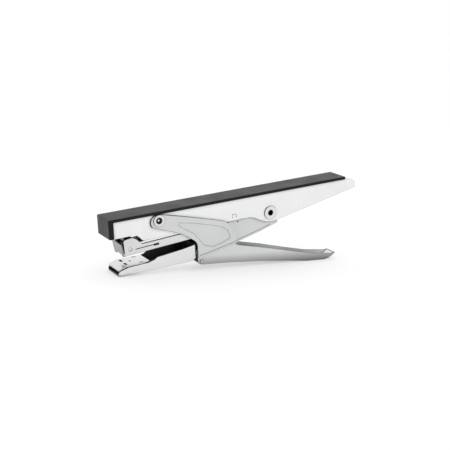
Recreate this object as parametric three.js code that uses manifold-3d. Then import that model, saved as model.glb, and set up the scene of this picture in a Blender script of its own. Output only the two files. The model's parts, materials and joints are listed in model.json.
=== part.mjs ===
// Plier stapler: a pressed steel hand tool with a plastic cap, a magazine that swings up onto a
// fixed driver blade, a lower jaw with the anvil, and a lower handle that closes the jaw.
// Millimetres, +Z up. The tool is drawn along its own flat top and then tilted as one group, so
// that it stands on the nose of the jaw and the rear of the lower handle.
import * as THREE from "three";
import * as BufferGeometryUtils from "three/addons/utils/BufferGeometryUtils.js";
import Module from "manifold-3d";

const wasm = await Module();
wasm.setup();

// Driving dimensions, in the tool's own axes: x runs back from the front of the cap, z is
// measured from the cap's flat top, and y is measured from the middle plane.
const STAND_TILT = THREE.MathUtils.degToRad(7.645);
const GAP = 0.3;
const SHEET = 0.75;

const CAP_LENGTH = 181.7;
const CAP_HALF_WIDTH = 9.2;
const CAP_THICKNESS = 1.6;
const CAP_LIP = 2.1;
const CAP_NOSE_DROP = 12.8;
const CAP_NOSE_THICKNESS = 3.3;
const CAP_PEG_RADIUS = 1.5;
const CAP_PEG_PLACES = [24, 92, 166];

const FRAME_HALF_WIDTH = 8.25;
const FRAME_TOP = -CAP_THICKNESS - GAP;
const FRAME_START = CAP_NOSE_THICKNESS + 0.4;
const FRAME_END = 190.6;

const DRIVER_FRONT = 11.02;
const DRIVER_THICKNESS = 0.55;
const DRIVER_HALF_WIDTH = 5.3;
const DRIVER_TOP = FRAME_TOP - SHEET - GAP;
const DRIVER_EDGE = -16.4;
const DRIVER_RIVET_PLACE = 16;
const DRIVER_RIVET_RADIUS = 1.2;

const PLATE_THICKNESS = 0.6;
const PLATE_FRONT_OFFSET = FRAME_HALF_WIDTH + 0.35;
const PLATE_REAR_OFFSET = 6.6;
const PLATE_LOBE = { x: 33.4, z: -6.9, radius: 4.5 };

const FRONT_RIVET = { x: 34.6, z: -6.1, shank: 2.0, bore: 1.2, head: 3.7 };
const REAR_PIVOT = { x: 118.7, z: -15.7, shank: 2.6, bore: 2.0, head: 4.6 };
const HINGE = { x: 66, z: -34, pin: 1.5, spacer: 2.0 };
const THRUST = { x: 82.8, z: -30, radius: 2.0 };

const MAGAZINE_FRONT = { x: 10.8, z: -26.2 };
const MAGAZINE_TILT = THREE.MathUtils.degToRad(3.2);
const MAGAZINE_HALF_WIDTH = 7.1;
const MAGAZINE_SHEET = 0.55;
const MAGAZINE_WEB = 0.6;
const MAGAZINE_NECK = 72;
const MAGAZINE_WEB_END = 90.5;
const MAGAZINE_EAR_OUTER = 6.25;
const STRIP_FRONT = 1.9;
const PUSHER_FRONT = 47.5;
const PUSHER_LENGTH = 9.5;
const PUSHER_WALL = 0.9;
const SPRING_STOP_FRONT = 84.5;
const ROD_HEIGHT = 3.7;
const ROD_RADIUS = 0.75;
const SPRING_COIL = 1.25;
const SPRING_WIRE = 0.2;

const PIVOT_EAR_RADIUS = 3.9;

const ARM_HALF_WIDTH = 8.25;
const ARM_FLOOR = -38.5;
const ARM_BACK = 60.4;
const ARM_TAIL_HALF_WIDTH = 5.25;

const HANDLE_HALF_WIDTH = 6.3;
const HANDLE_TIP_HALF_WIDTH = 5.0;
const HANDLE_TAPER_START = 120;
const HANDLE_TIP = 175.2;
const HANDLE_WALL = 0.7;
const HANDLE_FLOOR = 0.8;

const ROUND_SIDES = 28;
const ROD_SIDES = 16;
const LEG_STEPS = 10;

const STEEL_BRIGHT = { color: 0xe6e7e8, roughness: 0.22, metalness: 1.0 };
const STEEL_PLATE = { color: 0xcfd1d2, roughness: 0.3, metalness: 1.0 };
const STEEL_HARD = { color: 0x9a9c9e, roughness: 0.35, metalness: 1.0 };
const STEEL_WIRE = { color: 0xb4b6b8, roughness: 0.3, metalness: 1.0 };
const PLASTIC_DARK = { color: 0x4a4b4c, roughness: 0.55, metalness: 0.0 };

// ---------------------------------------------------------------------------------------------
// Sheet metal helpers

function solidFrom(geometry) {
  const bare = geometry.clone();
  bare.deleteAttribute("normal");
  bare.deleteAttribute("uv");
  const merged = BufferGeometryUtils.mergeVertices(bare, 1e-4);
  const mesh = new wasm.Mesh({
    numProp: 3,
    vertProperties: new Float32Array(merged.attributes.position.array),
    triVerts: new Uint32Array(merged.index.array),
  });
  return new wasm.Manifold(mesh);
}

function geometryFrom(solid) {
  const mesh = solid.getMesh();
  const geometry = new THREE.BufferGeometry();
  geometry.setAttribute("position", new THREE.BufferAttribute(new Float32Array(mesh.vertProperties), 3));
  geometry.setIndex(new THREE.BufferAttribute(new Uint32Array(mesh.triVerts), 1));
  geometry.computeVertexNormals();
  return geometry;
}

// An outline given in x and z, made solid between two y values.
function slab(outline, lowY, highY) {
  const shape = new THREE.Shape(outline.map(([x, z]) => new THREE.Vector2(x, z)));
  const geometry = new THREE.ExtrudeGeometry(shape, {
    depth: highY - lowY,
    bevelEnabled: false,
    steps: 1,
  });
  geometry.rotateX(Math.PI / 2);
  geometry.translate(0, highY, 0);
  return solidFrom(geometry);
}

function block(lowX, highX, lowY, highY, lowZ, highZ) {
  return slab([[lowX, lowZ], [highX, lowZ], [highX, highZ], [lowX, highZ]], lowY, highY);
}

// A round bar across the tool, along y.
function crossBar(x, z, radius, lowY, highY) {
  const geometry = new THREE.CylinderGeometry(radius, radius, highY - lowY, ROUND_SIDES);
  geometry.translate(x, (lowY + highY) / 2, z);
  return solidFrom(geometry);
}

// A turned piece across the tool, from a closed profile of radius and y.
function turnedAcross(x, z, profile) {
  const points = [...profile, profile[0]].map(([radius, y]) => new THREE.Vector2(radius, y));
  const geometry = new THREE.LatheGeometry(points, ROUND_SIDES);
  geometry.translate(x, 0, z);
  return geometry;
}

function arc(centreX, centreZ, radius, startDegrees, endDegrees, steps) {
  const points = [];
  for (let step = 0; step <= steps; step += 1) {
    const angle = THREE.MathUtils.degToRad(startDegrees + ((endDegrees - startDegrees) * step) / steps);
    points.push([centreX + radius * Math.cos(angle), centreZ + radius * Math.sin(angle)]);
  }
  return points;
}

function along(points, x) {
  for (let next = 1; next < points.length; next += 1) {
    const [x0, z0] = points[next - 1];
    const [x1, z1] = points[next];
    if (x <= x1) {
      return z0 + ((z1 - z0) * (x - x0)) / (x1 - x0);
    }
  }
  return points[points.length - 1][1];
}

// Wire wound along a path of points.
function wire(points, radius, steps) {
  const path = new THREE.CatmullRomCurve3(points, false, "catmullrom");
  const section = new THREE.Shape();
  section.absarc(0, 0, radius, 0, Math.PI * 2, false);
  return new THREE.ExtrudeGeometry(section, { extrudePath: path, steps, curveSegments: 3 });
}

function turnedOver(geometry) {
  const flipped = geometry.clone();
  flipped.scale(1, -1, 1);
  const index = flipped.index;
  for (let corner = 0; corner < index.count; corner += 3) {
    const second = index.getX(corner + 1);
    index.setX(corner + 1, index.getX(corner + 2));
    index.setX(corner + 2, second);
  }
  flipped.computeVertexNormals();
  return flipped;
}

function part(name, geometry, finish) {
  const mesh = new THREE.Mesh(geometry, new THREE.MeshStandardMaterial(finish));
  mesh.name = name;
  return mesh;
}

// ---------------------------------------------------------------------------------------------
// Frame: upper handle channel, cap, driver, side plates and their rivets

const frameSide = [
  [FRAME_START, FRAME_TOP],
  [FRAME_START, -13],
  [18.6, -13],
  [20.7, -14.7],
  [22.7, -17],
  [23.9, -17.6],
  [45.6, -17.1],
  [62, -16.9],
  [85, -16.4],
  [96, -16.1],
  [103, -16.3],
  [106.5, -17.4],
  [110.5, -19.6],
  [115.2, -21.5],
  [119.5, -22.1],
  [123.9, -21.8],
  [138.5, -19.0],
  [153.7, -16.1],
  [166.5, -13.7],
  [186.5, -9.9],
  [FRAME_END, -9.0],
  [FRAME_END, -5.5],
  [189.7, -4.1],
  [187.9, -3.1],
  [183.5, -2.2],
  [181.9, FRAME_TOP],
];

function frameChannel() {
  const inside = FRAME_HALF_WIDTH - SHEET;
  let channel = slab(frameSide, -FRAME_HALF_WIDTH, FRAME_HALF_WIDTH);
  const hollow = slab(
    [
      [FRAME_START + SHEET, FRAME_TOP - SHEET],
      [FRAME_START + SHEET, -30],
      [FRAME_END - SHEET, -30],
      [FRAME_END - SHEET, -6.2],
      [187.4, -3.9],
      [183.4, -3.0],
      [181.8, FRAME_TOP - SHEET],
    ],
    -inside,
    inside,
  );
  channel = channel.subtract(hollow);
  const outer = FRAME_HALF_WIDTH + 1;
  channel = channel.subtract(crossBar(FRONT_RIVET.x, FRONT_RIVET.z, FRONT_RIVET.shank + GAP, -outer, outer));
  channel = channel.subtract(crossBar(REAR_PIVOT.x, REAR_PIVOT.z, REAR_PIVOT.shank + GAP, -outer, outer));
  for (const place of CAP_PEG_PLACES) {
    channel = channel.subtract(upright(place, CAP_PEG_RADIUS + GAP, -6, 0));
  }
  channel = channel.subtract(upright(DRIVER_RIVET_PLACE, DRIVER_RIVET_RADIUS + GAP, -6, 0));
  return geometryFrom(channel);
}

// A round bar standing along z on the middle plane.
function upright(x, radius, lowZ, highZ) {
  const geometry = new THREE.CylinderGeometry(radius, radius, highZ - lowZ, ROUND_SIDES);
  geometry.rotateX(Math.PI / 2);
  geometry.translate(x, 0, (lowZ + highZ) / 2);
  return solidFrom(geometry);
}

function topCover() {
  const round = 1.1;
  const side = [
    ...arc(round, -round, round, 180, 90, 4),
    ...arc(CAP_LENGTH - round, -round, round, 90, 0, 4),
    [CAP_LENGTH, -CAP_LIP],
    [CAP_NOSE_THICKNESS, -CAP_LIP],
    [CAP_NOSE_THICKNESS, -CAP_NOSE_DROP],
    [0.6, -CAP_NOSE_DROP],
    [0, -CAP_NOSE_DROP + 0.6],
  ];
  let cap = slab(side, -CAP_HALF_WIDTH, CAP_HALF_WIDTH);
  const lipInside = FRAME_HALF_WIDTH + GAP;
  const under = block(CAP_NOSE_THICKNESS, CAP_LENGTH + 1, -lipInside, lipInside, -CAP_LIP - 1, -CAP_THICKNESS);
  cap = cap.subtract(under);
  for (const place of CAP_PEG_PLACES) {
    cap = cap.add(upright(place, CAP_PEG_RADIUS, FRAME_TOP - SHEET - 0.8, -CAP_THICKNESS + 0.5));
  }
  return geometryFrom(cap);
}

function driverBlade() {
  const blade = block(
    DRIVER_FRONT,
    DRIVER_FRONT + DRIVER_THICKNESS,
    -DRIVER_HALF_WIDTH,
    DRIVER_HALF_WIDTH,
    DRIVER_EDGE,
    DRIVER_TOP,
  );
  const foot = block(
    DRIVER_FRONT,
    DRIVER_RIVET_PLACE + 4,
    -DRIVER_HALF_WIDTH,
    DRIVER_HALF_WIDTH,
    DRIVER_TOP - DRIVER_THICKNESS,
    DRIVER_TOP,
  );
  const hole = upright(DRIVER_RIVET_PLACE, DRIVER_RIVET_RADIUS + GAP, -6, 0);
  return geometryFrom(blade.add(foot).subtract(hole));
}

function driverRivet() {
  const headTop = DRIVER_TOP - DRIVER_THICKNESS - GAP;
  const profile = [
    [0, FRAME_TOP - 0.05],
    [DRIVER_RIVET_RADIUS, FRAME_TOP - 0.05],
    [DRIVER_RIVET_RADIUS, headTop],
    [2.2, headTop],
    [1.9, headTop - 0.7],
    [0, headTop - 0.9],
  ];
  const points = profile.map(([radius, height]) => new THREE.Vector2(radius, height)).reverse();
  const geometry = new THREE.LatheGeometry(points, ROD_SIDES);
  geometry.rotateX(Math.PI / 2);
  geometry.translate(DRIVER_RIVET_PLACE, 0, 0);
  return geometry;
}

const plateTop = [
  [33.4, -2.4],
  [36, -2.4],
  [46.1, -5],
  [56.9, -7.8],
  [75.2, -12.9],
  [82.5, -15.2],
  [84.5, -16.8],
  [92.5, -16.8],
  [96, -14],
  [104, -11],
  [112, -10.3],
  [118.7, -10],
  [123, -11.5],
  [125, -14],
];

const plateBottom = [
  [30.2, -10.1],
  [43.4, -14.9],
  [50.5, -18],
  [54, -20.2],
  [57, -22.4],
  [59.4, -24.2],
  [60.9, -25.8],
  [61.6, -27.6],
  [61.8, -36.7],
  [68, -36],
  [74.3, -34.9],
  [86, -32.9],
  [97.7, -30.9],
  [110, -28.1],
  [123.5, -24.4],
  [125, -24.0],
];

// The plate lies outside the frame at its front and steps inside the frame behind a curved line.
function plateOffset(x, z) {
  const bend = 92 - 5 * Math.max(0, (z + 29) / 12) ** 2;
  const blend = THREE.MathUtils.smoothstep(x, bend - 2.5, bend + 2.5);
  return THREE.MathUtils.lerp(PLATE_FRONT_OFFSET, PLATE_REAR_OFFSET, blend);
}

function plateStations() {
  const stations = [];
  for (let degrees = 10; degrees < 90; degrees += 16) {
    const angle = THREE.MathUtils.degToRad(degrees);
    const x = PLATE_LOBE.x - PLATE_LOBE.radius * Math.cos(angle);
    const rise = PLATE_LOBE.radius * Math.sin(angle);
    const low = x < plateBottom[0][0] ? PLATE_LOBE.z - rise : along(plateBottom, x);
    stations.push([x, PLATE_LOBE.z + rise, low]);
  }
  const places = [...plateTop, ...plateBottom].map(([x]) => x).filter((x) => x >= PLATE_LOBE.x);
  for (let x = 83; x < 97; x += 1.4) {
    places.push(x);
  }
  places.sort((first, second) => first - second);
  let previous = -1;
  for (const x of places) {
    if (x - previous > 0.15) {
      stations.push([x, along(plateTop, x), along(plateBottom, x)]);
      previous = x;
    }
  }
  return stations;
}

function sidePlate() {
  const stations = plateStations();
  const rows = 8;
  const positions = [];
  for (const side of [0, PLATE_THICKNESS]) {
    for (const [x, top, bottom] of stations) {
      for (let row = 0; row <= rows; row += 1) {
        const z = THREE.MathUtils.lerp(bottom, top, row / rows);
        positions.push(x, plateOffset(x, z) + side, z);
      }
    }
  }
  const columns = stations.length;
  const at = (side, column, row) => side * columns * (rows + 1) + column * (rows + 1) + row;
  const faces = [];
  const quad = (a, b, c, d) => faces.push(a, b, c, a, c, d);
  for (let column = 0; column + 1 < columns; column += 1) {
    for (let row = 0; row < rows; row += 1) {
      quad(at(0, column, row), at(0, column + 1, row), at(0, column + 1, row + 1), at(0, column, row + 1));
      quad(at(1, column, row), at(1, column, row + 1), at(1, column + 1, row + 1), at(1, column + 1, row));
    }
    quad(at(0, column, 0), at(1, column, 0), at(1, column + 1, 0), at(0, column + 1, 0));
    quad(at(0, column, rows), at(0, column + 1, rows), at(1, column + 1, rows), at(1, column, rows));
  }
  for (let row = 0; row < rows; row += 1) {
    const last = columns - 1;
    quad(at(0, 0, row), at(0, 0, row + 1), at(1, 0, row + 1), at(1, 0, row));
    quad(at(0, last, row), at(1, last, row), at(1, last, row + 1), at(0, last, row + 1));
  }
  const sheet = new THREE.BufferGeometry();
  sheet.setAttribute("position", new THREE.Float32BufferAttribute(positions, 3));
  sheet.setIndex(faces);
  let plate = solidFrom(sheet);
  plate = plate.subtract(crossBar(FRONT_RIVET.x, FRONT_RIVET.z, FRONT_RIVET.shank + GAP, 5, 12));
  plate = plate.subtract(crossBar(REAR_PIVOT.x, REAR_PIVOT.z, REAR_PIVOT.shank + GAP, 5, 12));
  return geometryFrom(plate);
}

function tubularRivet(place, headFace) {
  const headThickness = 0.5;
  const end = headFace + headThickness;
  return turnedAcross(place.x, place.z, [
    [place.bore, -end + 0.15],
    [place.head * 0.62, -end],
    [place.head, -headFace - 0.15],
    [place.head, -headFace],
    [place.shank, -headFace],
    [place.shank, headFace],
    [place.head, headFace],
    [place.head, headFace + 0.15],
    [place.head * 0.62, end],
    [place.bore, end - 0.15],
  ]);
}

function tubeAcross(place, inner, outer, halfLength) {
  return turnedAcross(place.x, place.z, [
    [inner, -halfLength],
    [outer, -halfLength],
    [outer, halfLength],
    [inner, halfLength],
  ]);
}

// ---------------------------------------------------------------------------------------------
// Magazine: drawn flat along its own floor, u back from the nose and w up from the floor

const magazinePivot = new THREE.Vector2(
  REAR_PIVOT.x - MAGAZINE_FRONT.x,
  REAR_PIVOT.z - MAGAZINE_FRONT.z,
).rotateAround(new THREE.Vector2(0, 0), -MAGAZINE_TILT);

function magazineSheath() {
  const nose = [
    [0, 0],
    [0, 9.9],
    [0.9, 10.8],
    [5.4, 11.2],
    [6.6, 11],
    [8.9, 9.6],
    [11.9, 6.1],
    [13.4, 5.5],
    [21.5, 5.4],
    [MAGAZINE_NECK + 3, 5.2],
    [MAGAZINE_NECK + 3, 0],
  ];
  const outer = MAGAZINE_HALF_WIDTH;
  const inner = outer - MAGAZINE_SHEET;
  let sheath = slab(nose, -outer, outer);
  sheath = sheath.subtract(block(-1, MAGAZINE_NECK, -inner, inner, MAGAZINE_WEB, 20));
  sheath = sheath.subtract(block(-1, 1.5, -inner, inner, -1, 20));
  const earOuter = MAGAZINE_EAR_OUTER;
  const earInner = earOuter - MAGAZINE_WEB;
  sheath = sheath.subtract(block(MAGAZINE_NECK - 1, MAGAZINE_NECK + 4, -earInner, earInner, MAGAZINE_WEB, 20));
  const ear = [
    [MAGAZINE_NECK + 1, 0],
    [104, 0.1],
    ...arc(magazinePivot.x, magazinePivot.y, PIVOT_EAR_RADIUS, -100, 100, 12),
    [100, 6.6],
    [92, 5.3],
    [MAGAZINE_NECK + 1, 5.2],
  ];
  const between = [
    [MAGAZINE_NECK, MAGAZINE_WEB],
    [MAGAZINE_WEB_END, MAGAZINE_WEB],
    [MAGAZINE_WEB_END, -3],
    [120, -3],
    [120, 20],
    [MAGAZINE_NECK, 20],
  ];
  sheath = sheath.add(slab(ear, -earOuter, earOuter).subtract(slab(between, -earInner, earInner)));
  const hole = REAR_PIVOT.shank + GAP;
  sheath = sheath.subtract(crossBar(magazinePivot.x, magazinePivot.y, hole, -9, 9));
  sheath = sheath.subtract(block(20.6, 24, -9, 9, 2.5, 3.3));
  return geometryFrom(sheath);
}

function magazineFrontPlate() {
  const back = -GAP;
  const plate = block(back - 0.8, back, -MAGAZINE_HALF_WIDTH, MAGAZINE_HALF_WIDTH, 0, 8.6);
  const notch = block(back - 2, back + 1, -4.4, 4.4, -1, 1.1);
  return geometryFrom(plate.subtract(notch));
}

function stapleGuide() {
  const outer = 6.2;
  const inner = 5.7;
  const side = [
    [8.5, 0.9],
    [8.5, 5.4],
    ...arc(10.1, 5.4, 1.6, 180, 90, 4),
    [67, 7],
    [69.5, 5.6],
    [69.5, 0.9],
  ];
  const guide = slab(side, -outer, outer).subtract(block(0, 90, -inner, inner, 1.4, 20));
  return geometryFrom(guide);
}

function stapleStrip() {
  const outer = 5.35;
  const wireWidth = 0.5;
  const strip = block(STRIP_FRONT, PUSHER_FRONT - GAP, -outer, outer, 1.75, 6.8);
  const inside = block(0, 60, -outer + wireWidth, outer - wireWidth, 0, 6.3);
  return geometryFrom(strip.subtract(inside));
}

function staplePusher() {
  const outer = 5.3;
  const inner = outer - PUSHER_WALL;
  const slider = block(PUSHER_FRONT, PUSHER_FRONT + PUSHER_LENGTH, -outer, outer, 1.8, 6.4);
  const inside = block(PUSHER_FRONT + PUSHER_WALL, 70, -inner, inner, 0, 6.4 - PUSHER_WALL);
  const hole = barAlong(PUSHER_FRONT - 2, PUSHER_FRONT + 3, SPRING_COIL + SPRING_WIRE + GAP);
  return geometryFrom(slider.subtract(inside).subtract(hole));
}

// A round bar along the magazine at the height of the guide rod.
function barAlong(lowU, highU, radius) {
  const geometry = new THREE.CylinderGeometry(radius, radius, highU - lowU, ROD_SIDES);
  geometry.rotateZ(Math.PI / 2);
  geometry.translate((lowU + highU) / 2, 0, ROD_HEIGHT);
  return solidFrom(geometry);
}

function guideRod() {
  return geometryFrom(barAlong(38, SPRING_STOP_FRONT + 1.6, ROD_RADIUS));
}

function springStop() {
  const stop = block(SPRING_STOP_FRONT, SPRING_STOP_FRONT + 1.2, -4.9, 4.9, 0.9, 6.4);
  const foot = block(SPRING_STOP_FRONT, SPRING_STOP_FRONT + 3.5, -4.9, 4.9, 0.9, 1.6);
  const hole = barAlong(SPRING_STOP_FRONT - 1, SPRING_STOP_FRONT + 3, ROD_RADIUS + GAP);
  return geometryFrom(stop.add(foot).subtract(hole));
}

function pusherSpring() {
  const start = PUSHER_FRONT + 1.5;
  const end = SPRING_STOP_FRONT - 0.6;
  const turns = 16;
  const perTurn = 8;
  const points = [];
  for (let step = 0; step <= turns * perTurn; step += 1) {
    const angle = (step / perTurn) * Math.PI * 2;
    const u = start + ((end - start) * step) / (turns * perTurn);
    points.push(new THREE.Vector3(u, SPRING_COIL * Math.cos(angle), ROD_HEIGHT + SPRING_COIL * Math.sin(angle)));
  }
  return wire(points, SPRING_WIRE, turns * perTurn);
}

// ---------------------------------------------------------------------------------------------
// Torsion springs: a coil round a cross bar with one leg at each end

function torsionSpring({ centre, radius, wireRadius, halfSpan, turns, winding, firstLeg, lastLeg }) {
  const perTurn = 10;
  const points = [];
  const start = -Math.PI / 2;
  for (const [x, z] of firstLeg) {
    points.push(new THREE.Vector3(x, -halfSpan, z));
  }
  const count = Math.round(turns * perTurn);
  for (let step = 0; step <= count; step += 1) {
    const angle = start + winding * (step / perTurn) * Math.PI * 2;
    const y = THREE.MathUtils.lerp(-halfSpan, halfSpan, step / count);
    const x = centre.x + radius * Math.cos(angle);
    const z = centre.z + radius * Math.sin(angle);
    points.push(new THREE.Vector3(x, y, z));
  }
  for (const [x, z] of lastLeg) {
    points.push(new THREE.Vector3(x, halfSpan, z));
  }
  return wire(points, wireRadius, count + LEG_STEPS);
}

// ---------------------------------------------------------------------------------------------
// Lower jaw: trough with the anvil at its nose and a tail back to the rear pivot

function anvilArm() {
  const side = [
    [6, ARM_FLOOR],
    [55.8, ARM_FLOOR],
    [58.6, -37.9],
    [ARM_BACK, -36.6],
    [ARM_BACK, -27.3],
    [51, -28.8],
    [32.9, -30.5],
    [31.4, -31.2],
    [30.4, -31.9],
    [26, -32.9],
    [12.2, -33.3],
    [9, -34.1],
    [6.2, -34.9],
    [5.3, -36],
    [5, -37.8],
    [5.3, -38.3],
  ];
  const inner = ARM_HALF_WIDTH - SHEET;
  let trough = slab(side, -ARM_HALF_WIDTH, ARM_HALF_WIDTH);
  const hollow = slab(
    [[0, ARM_FLOOR + 0.8], [55.6, ARM_FLOOR + 0.8], [59.6, -36.2], [59.6, -20], [0, -20]],
    -inner,
    inner,
  );
  trough = trough.subtract(hollow);
  const tailBottom = [
    [59.8, -31.5],
    [66, -30.6],
    [THRUST.x, THRUST.z + THRUST.radius + GAP],
    [100, -25.2],
    [112, -21.4],
  ];
  const tail = [
    ...tailBottom,
    ...arc(REAR_PIVOT.x, REAR_PIVOT.z, PIVOT_EAR_RADIUS, -100, 110, 12),
    [112, -18.4],
    [100, -22.9],
    [84, -24.6],
    [59.8, -27.5],
  ];
  const tailHollow = [
    [60.4, -30.7],
    ...tailBottom.slice(1, 4).map(([x, z]) => [x, z + 0.8]),
    [104, -23.2],
    [104, -40],
    [130, -40],
    [130, 0],
    [60.4, 0],
  ];
  const tailInner = ARM_TAIL_HALF_WIDTH - 0.7;
  const ears = slab(tail, -ARM_TAIL_HALF_WIDTH, ARM_TAIL_HALF_WIDTH).subtract(
    slab(tailHollow, -tailInner, tailInner),
  );
  const hole = REAR_PIVOT.shank + GAP;
  trough = trough.add(ears).subtract(crossBar(REAR_PIVOT.x, REAR_PIVOT.z, hole, -9, 9));
  return geometryFrom(trough);
}

function anvilPlate() {
  const half = 7.8;
  const side = [
    [27.6, -33],
    [10.6, -33],
    [8.2, -33.9],
    [5.4, -34.6],
    [5.2, -34],
    [8.6, -32.9],
    [10.9, -32.2],
    [27.6, -32.2],
  ];
  const leg = 6.4;
  let plate = slab(side, -half, half);
  const back = slab([[27.6, -32.2], [27, -32.4], [27, -33], [28.2, -33.9], [28.8, -33.5]], -leg, leg);
  plate = plate.add(back);
  for (const sign of [-1, 1]) {
    const low = Math.min(sign * leg, sign * (leg + 0.7));
    plate = plate.add(block(14, 23, low, low + 0.7, -36, -32.6));
    const pocket = Math.min(sign * 1.7, sign * 5.7);
    plate = plate.subtract(block(10.95, 12.3, pocket, pocket + 4, -32.65, -31));
    const rim = Math.min(sign * 7.2, sign * 9.2);
    plate = plate.subtract(block(22, 30, rim, rim + 2, -36, -30));
  }
  return geometryFrom(plate);
}

// ---------------------------------------------------------------------------------------------
// Lower handle: trough that narrows to a rounded tip

const handleBottom = [
  [61.5, -41.6],
  [63, -42.5],
  [67.5, -43.3],
  [87, -45.8],
  [111.2, -49.7],
  [136.3, -54.7],
  [150, standLine(150)],
  [166, standLine(166)],
  [169.4, -59.5],
  [172.3, -58.4],
  [HANDLE_TIP, -56.9],
];

// The line through the jaw's nose edge and the handle's resting land, level once it is tilted.
function standLine(x) {
  return ARM_FLOOR - Math.tan(STAND_TILT) * (x - 6);
}

function lowerHandle() {
  const side = [
    ...handleBottom,
    [172.5, -56.6],
    [155.9, -53.3],
    [138.5, -48.1],
    [117.7, -41.5],
    [93.5, -34.6],
    [87.4, -29.4],
    [85, -27.1],
    [80.6, -27.1],
    [77.6, -29],
    [71.8, -30.6],
    ...arc(HINGE.x, HINGE.z, 4, 60, 180, 8),
    [61.5, -35],
  ];
  const hollow = [
    [60, -40.8],
    ...handleBottom.slice(0, 8).map(([x, z]) => [x, z + HANDLE_FLOOR]),
    [168.8, -58.8],
    [171.2, -58.0],
    [173.2, -56.9],
    [173.2, -20],
    [60, -20],
  ];
  const inner = HANDLE_HALF_WIDTH - HANDLE_WALL;
  let handle = slab(side, -HANDLE_HALF_WIDTH, HANDLE_HALF_WIDTH).subtract(slab(hollow, -inner, inner));
  handle = handle.subtract(crossBar(HINGE.x, HINGE.z, HINGE.pin + GAP, -9, 9));
  handle = handle.subtract(crossBar(THRUST.x, THRUST.z, THRUST.radius + GAP, -9, 9));
  const geometry = geometryFrom(handle);
  const position = geometry.attributes.position;
  for (let vertex = 0; vertex < position.count; vertex += 1) {
    const reach = THREE.MathUtils.clamp(
      (position.getX(vertex) - HANDLE_TAPER_START) / (HANDLE_TIP - HANDLE_TAPER_START),
      0,
      1,
    );
    const narrow = THREE.MathUtils.lerp(1, HANDLE_TIP_HALF_WIDTH / HANDLE_HALF_WIDTH, reach);
    position.setY(vertex, position.getY(vertex) * narrow);
  }
  geometry.computeVertexNormals();
  return geometry;
}

// ---------------------------------------------------------------------------------------------
// Assembly

const tool = new THREE.Group();
tool.add(part("frame_channel", frameChannel(), STEEL_BRIGHT));
tool.add(part("top_cover", topCover(), PLASTIC_DARK));
tool.add(part("driver_blade", driverBlade(), STEEL_HARD));
tool.add(part("driver_rivet", driverRivet(), STEEL_HARD));
const plateGeometry = sidePlate();
tool.add(part("side_plate_right", plateGeometry, STEEL_PLATE));
tool.add(part("side_plate_left", turnedOver(plateGeometry), STEEL_PLATE));
const frontHeadFace = PLATE_FRONT_OFFSET + PLATE_THICKNESS + 0.25;
const rearHeadFace = FRAME_HALF_WIDTH + 0.25;
tool.add(part("front_rivet", tubularRivet(FRONT_RIVET, frontHeadFace), STEEL_PLATE));
tool.add(part("rear_rivet", tubularRivet(REAR_PIVOT, rearHeadFace), STEEL_BRIGHT));
tool.add(part("pivot_bush", tubeAcross(REAR_PIVOT, REAR_PIVOT.shank + GAP, 3.5, 4.2), STEEL_HARD));
tool.add(part("handle_hinge_pin", geometryFrom(crossBar(HINGE.x, HINGE.z, HINGE.pin, -8.3, 8.3)), STEEL_HARD));

const magazine = new THREE.Group();
magazine.position.set(MAGAZINE_FRONT.x, 0, MAGAZINE_FRONT.z);
magazine.rotation.y = -MAGAZINE_TILT;
magazine.add(part("magazine_sheath", magazineSheath(), STEEL_BRIGHT));
magazine.add(part("magazine_front_plate", magazineFrontPlate(), STEEL_PLATE));
magazine.add(part("staple_guide", stapleGuide(), STEEL_BRIGHT));
magazine.add(part("staple_strip", stapleStrip(), STEEL_WIRE));
magazine.add(part("staple_pusher", staplePusher(), STEEL_HARD));
magazine.add(part("guide_rod", guideRod(), STEEL_WIRE));
magazine.add(part("spring_stop", springStop(), STEEL_HARD));
magazine.add(part("pusher_spring", pusherSpring(), STEEL_WIRE));
tool.add(magazine);

const magazineSpring = torsionSpring({
  centre: REAR_PIVOT,
  radius: 4.35,
  wireRadius: 0.4,
  halfSpan: 2.6,
  turns: 3.25,
  winding: 1,
  firstLeg: [[99.9, -19.8], [104.6, -19.75], [110, -19.85], [116, -19.98]],
  lastLeg: [[123.4, -12], [126.5, -9], [134, -6.2], [141, -4.2]],
});
tool.add(part("magazine_return_spring", magazineSpring, STEEL_WIRE));

tool.add(part("anvil_arm", anvilArm(), STEEL_BRIGHT));
tool.add(part("anvil_plate", anvilPlate(), STEEL_BRIGHT));

tool.add(part("lower_handle", lowerHandle(), STEEL_BRIGHT));
tool.add(part("thrust_pin", geometryFrom(crossBar(THRUST.x, THRUST.z, THRUST.radius, -6.3, 6.3)), STEEL_HARD));
tool.add(part("hinge_spacer", tubeAcross(HINGE, HINGE.pin + 0.15, HINGE.spacer, 5.2), STEEL_HARD));
const handleSpring = torsionSpring({
  centre: HINGE,
  radius: 2.6,
  wireRadius: 0.3,
  halfSpan: 4.2,
  turns: 6.25,
  winding: -1,
  firstLeg: [[92, -45.2], [88, -44.2], [78, -40.6], [70, -37.3]],
  lastLeg: [[63.3, -32.6], [62.9, -31.6]],
});
tool.add(part("handle_return_spring", handleSpring, STEEL_WIRE));

tool.rotation.y = -STAND_TILT;
const stapler = new THREE.Group();
stapler.add(tool);
stapler.updateMatrixWorld(true);
const extent = new THREE.Box3().setFromObject(tool, true);
tool.position.x -= (extent.min.x + extent.max.x) / 2;
tool.position.z -= extent.min.z;

export default stapler;
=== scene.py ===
import json
from math import pi, radians, sqrt, tan

import bmesh
import bpy
from mathutils import Matrix, Vector


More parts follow.
